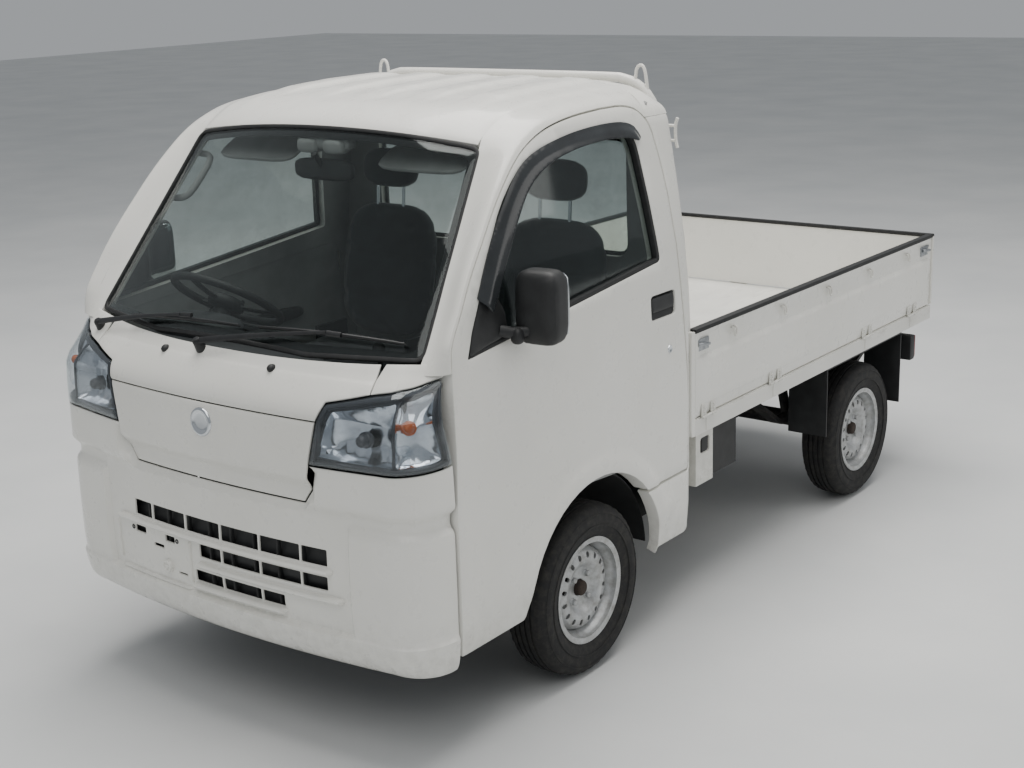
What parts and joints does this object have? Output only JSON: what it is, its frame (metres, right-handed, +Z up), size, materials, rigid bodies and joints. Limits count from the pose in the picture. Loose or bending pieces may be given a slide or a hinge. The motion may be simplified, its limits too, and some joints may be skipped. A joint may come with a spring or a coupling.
{
  "type": "kei pickup truck",
  "caption": "Small forward-control pickup truck with two doors, drop-side load bed, tailgate and a guard frame behind the cab.",
  "frame": {"origin": "on the ground under the middle of the bounding box", "axes": "-Y forward, +X the truck's left side, +Z up"},
  "size_m": [1.683, 3.392, 1.78],
  "materials": {
    "body_paint": "gloss warm off-white",
    "frame_paint": "satin black chassis paint",
    "glass": "clear tempered glass",
    "lamp_lens": "clear lamp lens",
    "red_lens": "red lamp lens",
    "black_plastic": "grained black",
    "grey_plastic": "grained dark grey",
    "smoked_plastic": "smoked acrylic",
    "seat_fabric": "woven dark grey",
    "cast_metal": "rough cast",
    "tank_steel": "dark coated steel",
    "tyre": "rubber",
    "wheel_paint": "silver"
  },
  "bodies": {
    "chassis": {"frame_rails": "frame_paint", "frame_crossmembers": "frame_paint", "cab_floor": "body_paint", "cab_front_panel": "body_paint", "cab_side_left": "body_paint", "cab_side_right": "body_paint", "cab_roof": "body_paint", "cab_back_panel": "body_paint", "windshield_glass": "glass", "rear_window_glass": "glass", "front_garnish": "body_paint", "front_bumper": "body_paint", "headlights": "lamp_lens", "wipers": "black_plastic", "dashboard": "grey_plastic", "steering_column": "black_plastic", "driver_seat": "seat_fabric", "passenger_seat": "seat_fabric", "engine": "cast_metal", "gearbox_and_propshaft": "cast_metal", "fuel_tank": "tank_steel", "exhaust": "tank_steel", "battery_box": "black_plastic", "front_arch_liners": "black_plastic", "front_suspension": "frame_paint", "rear_axle": "frame_paint", "leaf_springs": "frame_paint", "spare_wheel": "tyre", "bed_floor": "body_paint", "bed_headboard": "body_paint", "roof_guard": "body_paint", "rear_splash_guards": "black_plastic", "side_brackets": "body_paint", "tail_lamps": "red_lens", "rear_plate_bracket": "frame_paint"},
    "left_door": {"left_door": "body_paint", "left_door_glass": "glass", "left_mirror": "black_plastic", "left_visor": "smoked_plastic"},
    "right_door": {"right_door": "body_paint", "right_door_glass": "glass", "right_mirror": "black_plastic", "right_visor": "smoked_plastic"},
    "left_gate": {"left_gate": "body_paint"},
    "right_gate": {"right_gate": "body_paint"},
    "tailgate": {"tailgate": "body_paint"},
    "left_knuckle": {"left_knuckle": "frame_paint"},
    "right_knuckle": {"right_knuckle": "frame_paint"},
    "steering_wheel": {"steering_wheel": "black_plastic"},
    "front_left_wheel": {"front_left_tyre": "tyre", "front_left_rim": "wheel_paint"},
    "front_right_wheel": {"front_right_tyre": "tyre", "front_right_rim": "wheel_paint"},
    "rear_left_wheel": {"rear_left_tyre": "tyre", "rear_left_rim": "wheel_paint"},
    "rear_right_wheel": {"rear_right_tyre": "tyre", "rear_right_rim": "wheel_paint"}
  },
  "joints": [
    {"name": "left_door_hinge", "type": "hinge", "parent": "chassis", "child": "left_door", "pos_m": [0.728, -1.4425, 0.7], "axis": [0, 0, -1], "range_deg": [0, 70]},
    {"name": "right_door_hinge", "type": "hinge", "parent": "chassis", "child": "right_door", "pos_m": [-0.728, -1.4425, 0.7], "axis": [0, 0, 1], "range_deg": [0, 70]},
    {"name": "left_gate_hinge", "type": "hinge", "parent": "chassis", "child": "left_gate", "pos_m": [0.7335, 0, 0.652], "axis": [0, 1, 0], "range_deg": [0, 180]},
    {"name": "right_gate_hinge", "type": "hinge", "parent": "chassis", "child": "right_gate", "pos_m": [-0.7335, 0, 0.652], "axis": [0, -1, 0], "range_deg": [0, 180]},
    {"name": "tailgate_hinge", "type": "hinge", "parent": "chassis", "child": "tailgate", "pos_m": [0, 1.6935, 0.652], "axis": [-1, 0, 0], "range_deg": [0, 180]},
    {"name": "left_steer", "type": "hinge", "parent": "chassis", "child": "left_knuckle", "pos_m": [0.572, -0.8425, 0.19], "axis": [-0.1478, 0, 0.989], "range_deg": [-35, 35]},
    {"name": "right_steer", "type": "hinge", "parent": "chassis", "child": "right_knuckle", "pos_m": [-0.572, -0.8425, 0.19], "axis": [0.1478, 0, 0.989], "range_deg": [-35, 35]},
    {"name": "steering_wheel_turn", "type": "hinge", "parent": "chassis", "child": "steering_wheel", "pos_m": [-0.345, -1.2425, 1.13], "axis": [0, 0.5736, 0.8192], "range_deg": [-595, 595]},
    {"name": "front_left_roll", "type": "hinge", "parent": "left_knuckle", "child": "front_left_wheel", "pos_m": [0.6525, -0.8425, 0.268], "axis": [1, 0, 0], "continuous": true},
    {"name": "front_right_roll", "type": "hinge", "parent": "right_knuckle", "child": "front_right_wheel", "pos_m": [-0.6525, -0.8425, 0.268], "axis": [1, 0, 0], "continuous": true},
    {"name": "rear_left_roll", "type": "hinge", "parent": "chassis", "child": "rear_left_wheel", "pos_m": [0.65, 1.0575, 0.268], "axis": [1, 0, 0], "continuous": true},
    {"name": "rear_right_roll", "type": "hinge", "parent": "chassis", "child": "rear_right_wheel", "pos_m": [-0.65, 1.0575, 0.268], "axis": [1, 0, 0], "continuous": true}
  ],
  "couplings": [
    {"joint": "right_steer", "follows": "left_steer", "ratio": 1},
    {"joint": "steering_wheel_turn", "follows": "left_steer", "ratio": 17}
  ]
}
